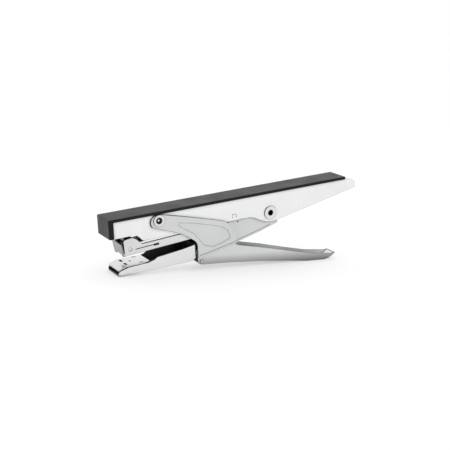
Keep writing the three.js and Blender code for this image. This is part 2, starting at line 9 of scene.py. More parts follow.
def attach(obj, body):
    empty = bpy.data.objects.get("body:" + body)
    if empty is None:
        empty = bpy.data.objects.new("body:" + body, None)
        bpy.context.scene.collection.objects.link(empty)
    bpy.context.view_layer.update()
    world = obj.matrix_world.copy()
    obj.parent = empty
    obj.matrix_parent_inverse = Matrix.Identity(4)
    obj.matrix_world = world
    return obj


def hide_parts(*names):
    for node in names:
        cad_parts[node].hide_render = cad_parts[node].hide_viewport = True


# The stapler is drawn in millimetres along its own flat cap: x runs back from the nose, z is
# measured up from the cap's top and y across. Each finished piece is then scaled to metres and
# tilted, so that it stands on the jaw's nose and the rear of the lower handle.
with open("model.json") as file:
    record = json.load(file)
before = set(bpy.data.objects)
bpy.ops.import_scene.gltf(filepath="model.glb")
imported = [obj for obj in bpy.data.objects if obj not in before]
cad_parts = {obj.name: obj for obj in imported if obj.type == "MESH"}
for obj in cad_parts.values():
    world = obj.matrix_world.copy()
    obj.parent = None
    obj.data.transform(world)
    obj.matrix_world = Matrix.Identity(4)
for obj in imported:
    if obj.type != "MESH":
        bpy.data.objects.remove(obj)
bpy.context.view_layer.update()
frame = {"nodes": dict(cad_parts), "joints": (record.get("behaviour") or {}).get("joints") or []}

# ---------------------------------------------------------------------------------------------
# Camera: a long lens above and to the left of the nose, rolled a little so that the tool rises
# to the right.
camera_data = bpy.data.cameras.new("camera")
camera_data.lens = 75.93
camera_data.sensor_width = 36
camera = bpy.data.objects.new("camera", camera_data)
camera.location = (-0.32652, -0.53350, 0.17646)
camera.rotation_euler = (radians(76.562), radians(-4.713), radians(-29.925))
bpy.context.scene.collection.objects.link(camera)
bpy.context.scene.camera = camera
bpy.context.scene.view_settings.view_transform = "Standard"

# ---------------------------------------------------------------------------------------------
# Studio: a pale matt floor, an even white surround and large soft lights. The floor glows a
# little, so that the shadow under the tool stays faint.
bpy.ops.object.select_all(action="DESELECT")
bpy.ops.mesh.primitive_plane_add(size=6.0)
floor = bpy.context.object
floor.name = "studio_floor"
floor_paint = bpy.data.materials.new("studio_floor_paint")
floor_paint.use_nodes = True
floor_shader = floor_paint.node_tree.nodes["Principled BSDF"]
floor_shader.inputs["Base Color"].default_value = (0.5, 0.5, 0.5, 1)
floor_shader.inputs["Roughness"].default_value = 0.8
floor_shader.inputs["Specular IOR Level"].default_value = 0.1
floor_shader.inputs["Emission Color"].default_value = (1, 1, 1, 1)
floor_shader.inputs["Emission Strength"].default_value = 0.48
floor.data.materials.append(floor_paint)

surround = bpy.data.worlds.new("studio_surround")
surround.use_nodes = True
surround.node_tree.nodes["Background"].inputs["Color"].default_value = (1, 1, 1, 1)
surround.node_tree.nodes["Background"].inputs["Strength"].default_value = 1.0
bpy.context.scene.world = surround


def soft_light(name, place, size, power):
    light = bpy.data.lights.new(name, "AREA")
    light.shape = "SQUARE"
    light.size = size
    light.energy = power
    holder = bpy.data.objects.new(name, light)
    holder.location = place
    holder.rotation_euler = (Vector((0, 0, 0.03)) - Vector(place)).to_track_quat("-Z", "Y").to_euler()
    bpy.context.scene.collection.objects.link(holder)


soft_light("overhead_light", (0.1, 0.2, 1.0), 1.0, 1.3)
soft_light("side_light", (-0.8, -0.9, 0.7), 0.6, 0.6)

# ---------------------------------------------------------------------------------------------
# Cap: one moulding of dark satin plastic that clips over the whole top of the frame, with thin
# side lips and a deep blunt nose. Its edges are rounded, and slightly paler where they are rubbed.
CAP_FRONT = 0.1
CAP_BACK = 181.6
CAP_TOP = -0.1
CAP_HALF_WIDTH = 9.2
CAP_LIP = 2.1
CAP_NOSE_DROP = 12.8
CAP_NOSE_THICKNESS = 3.3
STAND_TILT = radians(7.645)
HINGE = Vector((66, 0, -34))


def stand_up(piece):
    """Scales a piece drawn in millimetres along the cap and sets it where the tool stands."""
    hinge = next(joint for joint in frame["joints"] if joint["name"] == "handle_pivot")
    turn = Matrix.Rotation(-STAND_TILT, 4, "Y") @ Matrix.Scale(0.001, 4)
    piece.data.transform(Matrix.Translation(Vector(hinge["pos_m"]) - turn @ HINGE) @ turn)
    piece.data.update()


def only(piece):
    """Leaves edit mode and makes a piece the only one selected."""
    if bpy.context.object and bpy.context.object.mode == "EDIT":
        bpy.ops.object.mode_set(mode="OBJECT")
    bpy.ops.object.select_all(action="DESELECT")
    if piece:
        piece.select_set(True)
        bpy.context.view_layer.objects.active = piece


def new_block(name, low, high):
    """Adds a cube from one corner to another and leaves it in edit mode."""
    only(None)
    bpy.ops.mesh.primitive_cube_add(size=1)
    piece = bpy.context.object
    piece.name = name
    piece.data.name = name
    size = Vector(high) - Vector(low)
    middle = (Vector(high) + Vector(low)) / 2
    piece.data.transform(Matrix.Translation(middle) @ Matrix.Diagonal((*size, 1)))
    bpy.ops.object.mode_set(mode="EDIT")
    return piece


def choose(kind, wanted):
    """Selects the vertices, edges or faces that are wanted by their middle and themselves."""
    bpy.ops.mesh.select_mode(type=kind)
    bpy.ops.mesh.select_all(action="DESELECT")
    mesh = bpy.context.object.data
    shape = bmesh.from_edit_mesh(mesh)
    shape.normal_update()
    for element in {"VERT": shape.verts, "EDGE": shape.edges, "FACE": shape.faces}[kind]:
        corners = [element.co] if kind == "VERT" else [corner.co for corner in element.verts]
        if wanted(sum(corners, Vector()) / len(corners), element):
            element.select_set(True)
    shape.select_flush_mode()
    bmesh.update_edit_mesh(mesh)


def cut_across(places, axis=0):
    """Cuts the whole edit mesh at each place along an axis."""
    for place in places:
        point = [0, 0, 0]
        normal = [0, 0, 0]
        point[axis] = place
        normal[axis] = 1
        bpy.ops.mesh.select_mode(type="VERT")
        bpy.ops.mesh.select_all(action="SELECT")
        bpy.ops.mesh.bisect(plane_co=point, plane_no=normal)


def near(first, second, slack=0.02):
    return abs(first - second) < slack


def apply_all(piece):
    """Applies every modifier on a piece, in order."""
    only(piece)
    for modifier in list(piece.modifiers):
        bpy.ops.object.modifier_apply(modifier=modifier.name)


def soften(piece, width, angle=35):
    """Rounds every remaining sharp edge a little and shades the rounded ones smooth."""
    bevel = piece.modifiers.new("edge", "BEVEL")
    bevel.width = width
    bevel.segments = 2
    bevel.limit_method = "ANGLE"
    bevel.angle_limit = radians(angle)
    bevel.use_clamp_overlap = True
    apply_all(piece)
    bpy.ops.object.shade_smooth_by_angle(angle=radians(angle))
    even = piece.modifiers.new("even_shading", "WEIGHTED_NORMAL")
    even.keep_sharp = True
    apply_all(piece)


def edge_wear_and_shade_group():
    """A mask that is 1 on rounded outer edges, broken up by noise."""
    group = bpy.data.node_groups.new("edge_wear_and_shade", "ShaderNodeTree")
    group.interface.new_socket("Radius", in_out="INPUT", socket_type="NodeSocketFloat")
    group.interface.new_socket("Strength", in_out="INPUT", socket_type="NodeSocketFloat")
    group.interface.new_socket("Mask", in_out="OUTPUT", socket_type="NodeSocketFloat")
    nodes, links = group.nodes, group.links
    entry = nodes.new("NodeGroupInput")
    leave = nodes.new("NodeGroupOutput")
    rounded = nodes.new("ShaderNodeBevel")
    rounded.samples = 4
    links.new(entry.outputs["Radius"], rounded.inputs["Radius"])
    surface = nodes.new("ShaderNodeNewGeometry")
    match = nodes.new("ShaderNodeVectorMath")
    match.operation = "DOT_PRODUCT"
    links.new(rounded.outputs["Normal"], match.inputs[0])
    links.new(surface.outputs["Normal"], match.inputs[1])
    spread = nodes.new("ShaderNodeMapRange")
    spread.inputs["From Min"].default_value = 0.995
    spread.inputs["From Max"].default_value = 0.90
    links.new(match.outputs["Value"], spread.inputs["Value"])
    place = nodes.new("ShaderNodeTexCoord")
    rub = nodes.new("ShaderNodeTexNoise")
    rub.inputs["Scale"].default_value = 260
    links.new(place.outputs["Object"], rub.inputs["Vector"])
    broken = nodes.new("ShaderNodeMath")
    broken.operation = "MULTIPLY"
    links.new(spread.outputs["Result"], broken.inputs[0])
    links.new(rub.outputs["Fac"], broken.inputs[1])
    scaled = nodes.new("ShaderNodeMath")
    scaled.operation = "MULTIPLY"
    scaled.use_clamp = True
    links.new(broken.outputs["Value"], scaled.inputs[0])
    links.new(entry.outputs["Strength"], scaled.inputs[1])
    links.new(scaled.outputs["Value"], leave.inputs["Mask"])
    return group


EDGE_WEAR_AND_SHADE = edge_wear_and_shade_group()


def start_finish(name, metallic):
    """A new material, its nodes and links, and its Principled shader."""
    material = bpy.data.materials.new(name)
    material.use_nodes = True
    nodes = material.node_tree.nodes
    shader = nodes["Principled BSDF"]
    shader.inputs["Metallic"].default_value = metallic
    return material, nodes, material.node_tree.links, shader


def worn_or_shaded_edges(nodes, radius, strength):
    """An edge mask inside a material, for rubbed edges or painted edge shade."""
    edge_mask = nodes.new("ShaderNodeGroup")
    edge_mask.node_tree = EDGE_WEAR_AND_SHADE
    edge_mask.inputs["Radius"].default_value = radius
    edge_mask.inputs["Strength"].default_value = strength
    return edge_mask.outputs["Mask"]


def blended(nodes, links, factor, first, second):
    """A colour between two others; either may be a plain colour or another node's output."""
    mix = nodes.new("ShaderNodeMix")
    mix.data_type = "RGBA"
    links.new(factor, mix.inputs[0])
    for colour, socket in ((first, mix.inputs[6]), (second, mix.inputs[7])):
        if isinstance(colour, tuple):
            socket.default_value = (*colour, 1)
        else:
            links.new(colour, socket)
    return mix.outputs[2]


def spread_value(nodes, links, value, low, high):
    """A noise value near 0.5 spread between two numbers."""
    spread = nodes.new("ShaderNodeMapRange")
    spread.inputs["From Min"].default_value = 0.3
    spread.inputs["From Max"].default_value = 0.7
    spread.inputs["To Min"].default_value = low
    spread.inputs["To Max"].default_value = high
    links.new(value, spread.inputs["Value"])
    return spread.outputs["Result"]


def cap_plastic(name, base, rubbed, shine):
    """Dark moulded plastic: fine spark grain, faint mottling, edges rubbed a little paler."""
    material, nodes, links, shader = start_finish(name, 0)
    edge_mask = worn_or_shaded_edges(nodes, 0.0006, 0.8)
    colour = blended(nodes, links, edge_mask, (base, base, base * 1.03), (rubbed, rubbed, rubbed * 1.02))
    links.new(colour, shader.inputs["Base Color"])
    shader.inputs["Specular IOR Level"].default_value = shine
    place = nodes.new("ShaderNodeTexCoord")
    grain = nodes.new("ShaderNodeTexNoise")
    grain.inputs["Scale"].default_value = 3800
    grain.inputs["Detail"].default_value = 3
    links.new(place.outputs["Object"], grain.inputs["Vector"])
    bump = nodes.new("ShaderNodeBump")
    bump.inputs["Strength"].default_value = 0.25
    bump.inputs["Distance"].default_value = 0.00006
    links.new(grain.outputs["Fac"], bump.inputs["Height"])
    links.new(bump.outputs["Normal"], shader.inputs["Normal"])
    mottle = nodes.new("ShaderNodeTexNoise")
    mottle.inputs["Scale"].default_value = 90
    links.new(place.outputs["Object"], mottle.inputs["Vector"])
    links.new(spread_value(nodes, links, mottle.outputs["Fac"], 0.44, 0.56), shader.inputs["Roughness"])
    return material


def cap():
    low = (CAP_FRONT, -CAP_HALF_WIDTH, -CAP_LIP)
    piece = new_block("cap", low, (CAP_BACK, CAP_HALF_WIDTH, CAP_TOP))
    cut_across([CAP_NOSE_THICKNESS])
    choose("FACE", lambda middle, face: face.normal.z < -0.9 and middle.x < CAP_NOSE_THICKNESS)
    drop = {"value": (0, 0, CAP_LIP - CAP_NOSE_DROP)}
    bpy.ops.mesh.extrude_region_move(TRANSFORM_OT_translate=drop)
    choose("FACE", lambda middle, face: face.normal.z < -0.9 and near(middle.z, -CAP_LIP))
    bpy.ops.mesh.inset(thickness=0.65)
    bpy.ops.transform.translate(value=(0, 0, 0.5))
    choose(
        "EDGE",
        lambda middle, edge: near(middle.z, CAP_TOP)
        or (near(middle.x, CAP_FRONT) and not near(middle.z, -CAP_LIP))
        or (near(middle.x, CAP_BACK) and near(abs(middle.y), CAP_HALF_WIDTH)),
    )
    bpy.ops.mesh.bevel(offset=0.6, segments=4, profile=0.5)
    soften(piece, 0.12)
    piece.data.materials.append(cap_plastic("moulded_cap_plastic", 0.021, 0.12, 0.4))
    # The side faces get a darker copy of the plastic, as painted shade.
    piece.data.materials.append(cap_plastic("cap_side_shade_plastic", 0.008, 0.02, 0.15))
    bpy.ops.object.mode_set(mode="EDIT")
    choose("FACE", lambda middle, face: abs(face.normal.y) > 0.55)
    piece.active_material_index = 1
    bpy.ops.object.material_slot_assign()
    only(piece)
    stand_up(piece)
    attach(piece, "frame")
    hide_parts("top_cover")


cap()

# ---------------------------------------------------------------------------------------------
# Frame channel: the upper handle, folded from bright plated sheet, open underneath. Its sides
# step down behind the nose and dip round the rear rivet, and taper to a blunt closed tail.
FRAME_SHEET = 0.75
FRAME_HALF_WIDTH = 8.25
FRAME_WEB = [(3.7, -1.9), (181.9, -1.9), (183.5, -2.2), (187.9, -3.1), (189.7, -4.1), (190.6, -5.5)]
FRAME_RIM = [
    (3.7, -13.0),
    (18.6, -13.0),
    (20.7, -14.7),
    (22.7, -17.0),
    (23.9, -17.6),
    (45.6, -17.1),
    (85.0, -16.4),
    (96.0, -16.1),
    (103.0, -16.3),
    (106.5, -17.4),
    (110.5, -19.6),
    (115.2, -21.5),
    (119.5, -22.1),
    (123.9, -21.8),
    (138.5, -19.0),
    (166.5, -13.7),
    (186.5, -9.9),
    (190.6, -9.0),
]
FRONT_RIVET = Vector((34.6, 0, -6.1))
REAR_PIVOT = Vector((118.7, 0, -15.7))
SHANK_HOLE = 2.3
PIVOT_HOLE = 2.9
LANCE_LEFT = 89
LANCE_RIGHT = 92
LANCE_BOTTOM = -14.5
LANCE_TOP = -12
LANCE_HALF_GAP = 0.1
UNSET_WEB = 1000
UNSET_RIM = 2000


def height_at(line, x):
    """The height of a line of points at x."""
    for (x0, z0), (x1, z1) in zip(line, line[1:]):
        if x <= x1:
            return z0 + (z1 - z0) * (x - x0) / (x1 - x0)
    return line[-1][1]


def folded_channel(name, half_width, web, rim, opens_down, open_front, open_back):
    """Draws the outer skin of a channel whose web and free edges follow two lines."""
    start, end = web[0][0], web[-1][0]
    sign = -1 if opens_down else 1
    low, high = sorted((sign * UNSET_WEB, sign * UNSET_RIM))
    piece = new_block(name, (start, -half_width, low), (end, half_width, high))
    choose(
        "FACE",
        lambda middle, face: near(middle.z, sign * UNSET_RIM)
        or (open_front and near(middle.x, start))
        or (open_back and near(middle.x, end)),
    )
    bpy.ops.mesh.delete(type="FACE")
    places = sorted({x for x, height in web + rim})
    cut_across([x for x in places if start < x < end])
    for x in places:
        for line, unset in ((web, sign * UNSET_WEB), (rim, sign * UNSET_RIM)):
            choose("VERT", lambda middle, corner: near(middle.x, x) and near(middle.z, unset))
            bpy.ops.transform.translate(value=(0, 0, height_at(line, x) - unset))
    return piece


def fold_sheet(piece, thickness, radius):
    """Gives a channel's skin its thickness inwards, and rounds its folds inside and out."""
    choose(
        "EDGE",
        lambda middle, edge: len(edge.link_faces) == 2
        and (abs(edge.link_faces[0].normal.y) > 0.8) != (abs(edge.link_faces[1].normal.y) > 0.8),
    )
    bpy.ops.transform.edge_bevelweight(value=1)
    solid = piece.modifiers.new("sheet", "SOLIDIFY")
    solid.thickness = thickness
    solid.offset = -1
    solid.use_even_offset = True
    # The inner faces take the piece's second material and the cut rims its third; on most pieces these
    # are near-black copies painted as shade.
    solid.material_offset = 1
    solid.material_offset_rim = 2
    folds = piece.modifiers.new("folds", "BEVEL")
    folds.limit_method = "WEIGHT"
    folds.width = radius
    folds.segments = 4
    folds.use_clamp_overlap = True
    apply_all(piece)


def cut_with(piece, cutter, operation="DIFFERENCE"):
    """Cuts a piece with another, or joins them; the other one is then deleted."""
    if not cutter.data.materials:
        cutter.data.materials.append(piece.data.materials[0])
    boolean = piece.modifiers.new("cut", "BOOLEAN")
    boolean.operation = operation
    boolean.solver = "EXACT"
    boolean.material_mode = "TRANSFER"
    boolean.object = cutter
    apply_all(piece)
    bpy.data.objects.remove(cutter)


def cross_rod(name, centre, radius, low_y, high_y, sides=48):
    """Adds a round bar along y and leaves it in object mode."""
    only(None)
    bpy.ops.mesh.primitive_cylinder_add(vertices=sides, radius=radius, depth=high_y - low_y)
    rod = bpy.context.object
    rod.name = name
    rod.data.name = name
    middle = Vector((centre[0], (low_y + high_y) / 2, centre[2]))
    rod.data.transform(Matrix.Translation(middle) @ Matrix.Rotation(pi / 2, 4, "X"))
    return rod


def brushing_group():
    """Fine lines along the tool, and slow smudges, as two values round 0.5."""
    group = bpy.data.node_groups.new("brushing", "ShaderNodeTree")
    group.interface.new_socket("Line Scale", in_out="INPUT", socket_type="NodeSocketFloat")
    group.interface.new_socket("Smudge Scale", in_out="INPUT", socket_type="NodeSocketFloat")
    group.interface.new_socket("Lines", in_out="OUTPUT", socket_type="NodeSocketFloat")
    group.interface.new_socket("Smudges", in_out="OUTPUT", socket_type="NodeSocketFloat")
    nodes, links = group.nodes, group.links
    entry = nodes.new("NodeGroupInput")
    leave = nodes.new("NodeGroupOutput")
    place = nodes.new("ShaderNodeTexCoord")
    stretch = nodes.new("ShaderNodeMapping")
    stretch.inputs["Rotation"].default_value = (0, STAND_TILT, 0)
    stretch.inputs["Scale"].default_value = (0.06, 1, 1)
    links.new(place.outputs["Object"], stretch.inputs["Vector"])
    lines = nodes.new("ShaderNodeTexNoise")
    lines.inputs["Detail"].default_value = 4
    links.new(stretch.outputs["Vector"], lines.inputs["Vector"])
    links.new(entry.outputs["Line Scale"], lines.inputs["Scale"])
    smudges = nodes.new("ShaderNodeTexNoise")
    smudges.inputs["Detail"].default_value = 2
    links.new(place.outputs["Object"], smudges.inputs["Vector"])
    links.new(entry.outputs["Smudge Scale"], smudges.inputs["Scale"])
    links.new(lines.outputs["Fac"], leave.inputs["Lines"])
    links.new(smudges.outputs["Fac"], leave.inputs["Smudges"])
    return group


BRUSHING = brushing_group()


def crease_shade_group():
    """A mask that is 1 in the creases and pockets, for painting shade into the colour there."""
    group = bpy.data.node_groups.new("painted_crease_shade", "ShaderNodeTree")
    group.interface.new_socket("Distance", in_out="INPUT", socket_type="NodeSocketFloat")
    group.interface.new_socket("Strength", in_out="INPUT", socket_type="NodeSocketFloat")
    group.interface.new_socket("Mask", in_out="OUTPUT", socket_type="NodeSocketFloat")
    nodes, links = group.nodes, group.links
    entry = nodes.new("NodeGroupInput")
    leave = nodes.new("NodeGroupOutput")
    crease = nodes.new("ShaderNodeAmbientOcclusion")
    crease.samples = 8
    links.new(entry.outputs["Distance"], crease.inputs["Distance"])
    turned_round = nodes.new("ShaderNodeMath")
    turned_round.operation = "SUBTRACT"
    turned_round.inputs[0].default_value = 1
    links.new(crease.outputs["AO"], turned_round.inputs[1])
    scaled = nodes.new("ShaderNodeMath")
    scaled.operation = "MULTIPLY"
    scaled.use_clamp = True
    links.new(turned_round.outputs["Value"], scaled.inputs[0])
    links.new(entry.outputs["Strength"], scaled.inputs[1])
    links.new(scaled.outputs["Value"], leave.inputs["Mask"])
    return group


CREASE_SHADE_MASK = crease_shade_group()


def low_shade_group():
    """A mask that rises from 0 at a level to 1 at a depth below it, for painted shade on lower faces.
    """
    group = bpy.data.node_groups.new("painted_low_shade", "ShaderNodeTree")
    group.interface.new_socket("Level", in_out="INPUT", socket_type="NodeSocketFloat")
    group.interface.new_socket("Depth", in_out="INPUT", socket_type="NodeSocketFloat")
    group.interface.new_socket("Mask", in_out="OUTPUT", socket_type="NodeSocketFloat")
    nodes, links = group.nodes, group.links
    entry = nodes.new("NodeGroupInput")
    leave = nodes.new("NodeGroupOutput")
    place = nodes.new("ShaderNodeTexCoord")
    axes = nodes.new("ShaderNodeSeparateXYZ")
    links.new(place.outputs["Object"], axes.inputs["Vector"])
    below = nodes.new("ShaderNodeMath")
    below.operation = "SUBTRACT"
    links.new(entry.outputs["Level"], below.inputs[0])
    links.new(axes.outputs["Z"], below.inputs[1])
    share = nodes.new("ShaderNodeMath")
    share.operation = "DIVIDE"
    share.use_clamp = True
    links.new(below.outputs["Value"], share.inputs[0])
    links.new(entry.outputs["Depth"], share.inputs[1])
    links.new(share.outputs["Value"], leave.inputs["Mask"])
    return group


LOW_SHADE_MASK = low_shade_group()


# Near-black painted shade for creases and pockets.
CREASE_SHADE_COLOUR = (0.035, 0.035, 0.037)
# Dark grey painted shade for the edges.
EDGE_SHADE_COLOUR = (0.10, 0.10, 0.105)


def plated_steel(name, dark, light, smooth, rough, crease_shade=1.25, low_shade=None):
    """Plated sheet: brushed lines, smudged roughness, painted grey shade lines on the edges, painted
    shade in the creases and, if asked, painted shade on the lower faces.
    """
    material, nodes, links, shader = start_finish(name, 1)
    brushed = nodes.new("ShaderNodeGroup")
    brushed.node_tree = BRUSHING
    brushed.inputs["Line Scale"].default_value = 1900
    brushed.inputs["Smudge Scale"].default_value = 42
    crease_shade_node = nodes.new("ShaderNodeGroup")
    crease_shade_node.node_tree = CREASE_SHADE_MASK
    crease_shade_node.inputs["Distance"].default_value = 0.0025
    crease_shade_node.inputs["Strength"].default_value = crease_shade
    smudged = blended(nodes, links, brushed.outputs["Smudges"], dark, light)
    # Paints shade into the creases and pockets.
    shaded = blended(nodes, links, crease_shade_node.outputs["Mask"], smudged, CREASE_SHADE_COLOUR)
    # Paints shade onto the lower faces, darker towards the bottom.
    if low_shade:
        low = nodes.new("ShaderNodeGroup")
        low.node_tree = LOW_SHADE_MASK
        low.inputs["Level"].default_value = 0.0095
        low.inputs["Depth"].default_value = 0.0085
        shaded = blended(nodes, links, low.outputs["Mask"], shaded, low_shade)
    # Paints dark grey shade lines along the rounded edges.
    edged = blended(nodes, links, worn_or_shaded_edges(nodes, 0.00042, 2.0), shaded, EDGE_SHADE_COLOUR)
    links.new(edged, shader.inputs["Base Color"])
    roughness = spread_value(nodes, links, brushed.outputs["Smudges"], smooth, rough)
    links.new(roughness, shader.inputs["Roughness"])
    bump = nodes.new("ShaderNodeBump")
    bump.inputs["Strength"].default_value = 0.35
    bump.inputs["Distance"].default_value = 0.00001
    links.new(brushed.outputs["Lines"], bump.inputs["Height"])
    links.new(bump.outputs["Normal"], shader.inputs["Normal"])
    return material


FRAME_PLATING = plated_steel("frame_plating", (0.76, 0.765, 0.77), (0.88, 0.88, 0.885), 0.18, 0.30)
# Near-black copy of the plating for the sheets' cut edges, as painted shade along the rims and in the
# gaps between parts.
CUT_EDGE_SHADE = plated_steel("painted_cut_edge_shade", (0.07, 0.07, 0.072), (0.16, 0.16, 0.162), 0.4, 0.55)
# Near-black copy of the plating for the sheets' inner faces, as painted shade inside the channels.
INSIDE_SHADE = plated_steel("painted_inside_shade", (0.05, 0.05, 0.052), (0.11, 0.11, 0.115), 0.45, 0.6)


def frame_channel():
    piece = folded_channel("frame_shell", FRAME_HALF_WIDTH, FRAME_WEB, FRAME_RIM, True, False, False)
    piece.data.materials.append(FRAME_PLATING)
    piece.data.materials.append(INSIDE_SHADE)
    piece.data.materials.append(CUT_EDGE_SHADE)
    fold_sheet(piece, FRAME_SHEET, 1.0)
    cut_with(piece, cross_rod("hole", FRONT_RIVET, SHANK_HOLE, -12, 12))
    cut_with(piece, cross_rod("hole", REAR_PIVOT, PIVOT_HOLE, -12, 12))
    for side in (-1, 1):
        low, high = sorted((side * (FRAME_HALF_WIDTH - 0.15), side * (FRAME_HALF_WIDTH + 0.15)))
        for left, right, bottom, top in (
            (LANCE_LEFT - LANCE_HALF_GAP, LANCE_LEFT + LANCE_HALF_GAP, LANCE_BOTTOM, LANCE_TOP),
            (LANCE_LEFT, LANCE_RIGHT, LANCE_TOP - LANCE_HALF_GAP, LANCE_TOP + LANCE_HALF_GAP),
            (LANCE_RIGHT - LANCE_HALF_GAP, LANCE_RIGHT + LANCE_HALF_GAP, LANCE_BOTTOM, LANCE_TOP),
        ):
            cut_with(piece, new_block("lance", (left, low, bottom), (right, high, top)))
    soften(piece, 0.1)
    stand_up(piece)
    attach(piece, "frame")
    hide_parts("frame_channel")


frame_channel()

# ---------------------------------------------------------------------------------------------
# Side plates: a left and a right pressing of thinner plated sheet. Each lies outside the frame
# at its front, steps inside the frame behind a curved joggle, and has a shallow pressed panel.
PLATE_THICKNESS = 0.6
PLATE_OFFSET = 9.2
PLATE_STEP = 2.0
PLATE_BEND = 92.0
PLATE_TOP = [
    (28.9, -6.9),
    (29.2, -5.3),
    (30.1, -3.9),
    (31.6, -2.8),
    (33.4, -2.4),
    (36, -2.4),
    (46.1, -5),
    (56.9, -7.8),
    (75.2, -12.9),
    (82.5, -15.2),
    (84.5, -16.6),
    (92.5, -16.6),
    (96, -14),
    (104, -11),
    (112, -10.3),
    (118.7, -10),
    (123, -11.5),
    (125, -14),
]
PLATE_BOTTOM = [
    (28.9, -7.1),
    (29.2, -8.5),
    (30.2, -10.1),
    (43.4, -14.9),
    (50.5, -18),
    (54, -20.2),
    (57, -22.4),
    (59.4, -24.2),
    (60.9, -25.8),
    (61.6, -27.6),
    (61.8, -36.7),
    (68, -36),
    (74.3, -34.9),
    (86, -32.9),
    (97.7, -30.9),
    (110, -28.1),
    (123.5, -24.4),
    (125, -24.0),
]
PANEL_DEPTH = 0.16
PANEL_ROUNDING = 1.6
CREASE_DEPTH = 0.2
CREASE_STEPS = (63, 68, 74.3, 86, 97.7, 110, 119)
CREASE_RISE = 1.3
CREASE_WIDTH = 0.22
JOGGLE_STEPS = 6
JOGGLE_RUN = 5
PIN_HOLE = Vector((93.7, 0, -17.8))
PANEL_TOP = [(48.5, -10.0), (60, -12.4), (73, -16.0), (80, -18.4), (84.6, -21.5), (86.3, -26.0)]
PANEL_BOTTOM = [(48.5, -12.2), (60, -20.0), (66, -28.5), (73, -31.0), (80, -29.6), (86.3, -27.6)]
PLATE_PLATING = plated_steel("plate_plating", (0.55, 0.555, 0.56), (0.69, 0.695, 0.70), 0.24, 0.38)


def bend_line(z):
    """Where along the tool the plate steps inwards at a height."""
    return PLATE_BEND - 5 * max(0, (z + 29) / 12) ** 2


def outlined_plate(name, top, bottom, outside, thickness):
    """A flat plate parallel to the tool's side, between a top and a bottom line."""
    start, end = top[0][0], top[-1][0]
    piece = new_block(name, (start, -outside, UNSET_WEB), (end, thickness - outside, UNSET_RIM))
    places = sorted({x for x, height in top + bottom})
    cut_across([x for x in places if start < x < end])
    for x in places:
        for line, unset in ((bottom, UNSET_WEB), (top, UNSET_RIM)):
            choose("VERT", lambda middle, corner: near(middle.x, x) and near(middle.z, unset))
            bpy.ops.transform.translate(value=(0, 0, height_at(line, x) - unset))
    return piece


def runs_along(edge, axis):
    """Whether an edge lies along an axis."""
    return abs((edge.verts[0].co - edge.verts[1].co).normalized()[axis]) > 0.9


def side_plate(name, node, side):
    piece = outlined_plate(name, PLATE_TOP, PLATE_BOTTOM, PLATE_OFFSET, PLATE_THICKNESS)
    piece.data.materials.append(PLATE_PLATING)
    piece.data.materials.append(CUT_EDGE_SHADE)
    # The plate's cut edges get the near-black painted shade.
    choose("FACE", lambda middle, face: abs(face.normal.y) < 0.5)
    piece.active_material_index = 1
    bpy.ops.object.material_slot_assign()
    panel = outlined_plate("panel", PANEL_TOP, PANEL_BOTTOM, PLATE_OFFSET + 1, 1 + PANEL_DEPTH)
    choose("EDGE", lambda middle, edge: runs_along(edge, 1))
    bpy.ops.mesh.bevel(offset=PANEL_ROUNDING, segments=4, clamp_overlap=True)
    cut_with(piece, panel)
    low_line = [(x, height_at(PLATE_BOTTOM, x) + CREASE_RISE) for x in CREASE_STEPS]
    high_line = [(x, z + CREASE_WIDTH) for x, z in low_line]
    cut_with(piece, outlined_plate("crease", high_line, low_line, PLATE_OFFSET + 1, 1 + CREASE_DEPTH))
    bpy.ops.object.mode_set(mode="EDIT")
    cut_across([83 + 0.9 * step for step in range(16)])
    cut_across([-35 + 1.8 * step for step in range(12)], axis=2)
    for step in range(JOGGLE_STEPS):
        shift = JOGGLE_RUN * ((step + 0.5) / JOGGLE_STEPS - 0.5)
        choose("VERT", lambda middle, corner: middle.x > bend_line(middle.z) + shift)
        bpy.ops.transform.translate(value=(0, PLATE_STEP / JOGGLE_STEPS, 0))
    cut_with(piece, cross_rod("hole", FRONT_RIVET, SHANK_HOLE, -12, -5))
    cut_with(piece, cross_rod("hole", REAR_PIVOT, PIVOT_HOLE, -12, -5))
    cut_with(piece, cross_rod("hole", PIN_HOLE, 0.5, -12, -5, 24))
    soften(piece, 0.14, angle=30)
    if side > 0:
        only(piece)
        bpy.ops.object.mode_set(mode="EDIT")
        bpy.ops.mesh.select_all(action="SELECT")
        bpy.ops.transform.resize(value=(1, -1, 1), center_override=(0, 0, 0))
        bpy.ops.mesh.flip_normals()
        only(piece)
    stand_up(piece)
    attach(piece, "frame")
    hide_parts(node)


side_plate("near_side_plate", "side_plate_left", -1)
side_plate("far_side_plate", "side_plate_right", 1)

# ---------------------------------------------------------------------------------------------
# Front and rear rivets: turned steel tubes across the tool, their ends rolled out into flat
# rings that clamp the side plates. The front one has a bright pin pressed into its bore.
RIVET_PLATING = plated_steel("rivet_plating", (0.66, 0.665, 0.67), (0.82, 0.82, 0.825), 0.2, 0.32)
RING_HEIGHT = 0.32
BORE_SHADE = plated_steel("bore_shade", (0.012, 0.012, 0.012), (0.03, 0.03, 0.03), 0.5, 0.7)


def step_ends(steps, radius, reach):
    """Insets both end faces of a cross rod to each radius in turn and moves them to each reach."""
    for new_radius, new_reach in steps:
        choose(
            "FACE",
            lambda middle, face: abs(face.normal.y) > 0.9 and near(abs(middle.y), reach, 0.001),
        )
        bpy.ops.mesh.inset(thickness=radius - new_radius)
        for side in (-1, 1):
            choose(
                "FACE",
                lambda middle, face: abs(face.normal.y) > 0.9
                and near(middle.y, side * reach, 0.001)
                and face.calc_area() < pi * (new_radius + 0.02) ** 2
                and len(face.verts) > 8,
            )
            bpy.ops.transform.translate(value=(0, side * (new_reach - reach), 0))
        radius, reach = new_radius, new_reach


